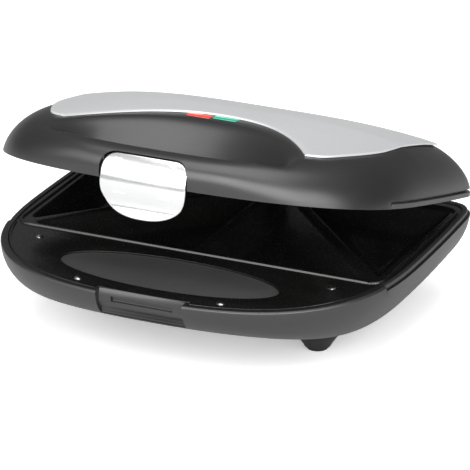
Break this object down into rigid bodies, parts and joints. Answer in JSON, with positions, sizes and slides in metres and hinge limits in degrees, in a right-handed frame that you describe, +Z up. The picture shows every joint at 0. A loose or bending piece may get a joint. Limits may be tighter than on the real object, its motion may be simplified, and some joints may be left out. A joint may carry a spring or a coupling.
{
  "type": "sandwich toaster",
  "caption": "Countertop sandwich toaster with a crowned lid on two rear hinges, a silver top panel, a finger scoop, a front latch and cast plates with triangular pockets",
  "frame": {"origin": "middle of the footprint, on the surface that the feet stand on", "axes": "+X to the user's right as the user faces the latch, -Y towards the user, +Z up; the lid stands 16.7 degrees open, as in the picture"},
  "size_m": [0.2446, 0.2307, 0.1357],
  "materials": {
    "casing": "fine satin grain",
    "frame": "satin",
    "coated_cast": "black non-stick coating",
    "inlay": "dark grey satin",
    "rivet": "polished",
    "element": "heat-tinted",
    "reflector": "bright sheet",
    "ceramic": "matt",
    "terminal": "matt",
    "gland": "matt",
    "screw": "zinc",
    "foot": "satin",
    "pad": "matt",
    "pin": "ground",
    "silver_panel": "silver, satin",
    "red_lens": "translucent red",
    "green_lens": "translucent green",
    "lamp": "clear",
    "chrome_latch": "satin chrome"
  },
  "bodies": {
    "base": {"base_casing": "casing", "base_frame": "frame", "lower_cooking_plate": "coated_cast", "apron_inlay": "inlay", "apron_rivets": "rivet", "lower_element": "element", "lower_reflector": "reflector", "thermal_fuse": "ceramic", "terminal_block": "terminal", "cord_gland": "gland", "base_screws": "screw", "front_feet": "foot", "rear_feet": "foot", "foot_pads": "pad", "hinge_pins": "pin"},
    "lid": {"lid_casing": "casing", "lid_frame": "frame", "lid_top_panel": "silver_panel", "red_lens": "red_lens", "green_lens": "green_lens", "neon_lamps": "lamp", "lamp_holder": "terminal", "upper_cooking_plate": "coated_cast", "upper_inlay": "inlay", "upper_rivets": "rivet", "upper_element": "element", "upper_reflector": "reflector", "thermostat": "ceramic", "lid_screws": "screw", "latch_pin": "pin"},
    "latch": {"latch": "chrome_latch"}
  },
  "joints": [
    {"name": "lid_hinge", "type": "hinge", "parent": "base", "child": "lid", "pos_m": [0, 0.1102, 0.062], "axis": [-1, 0, 0], "range_deg": [-16.7, 85]},
    {"name": "latch_hinge", "type": "hinge", "parent": "lid", "child": "latch", "pos_m": [0, -0.10115, 0.12833], "axis": [-1, 0, 0], "range_deg": [-3.5, 30]}
  ]
}
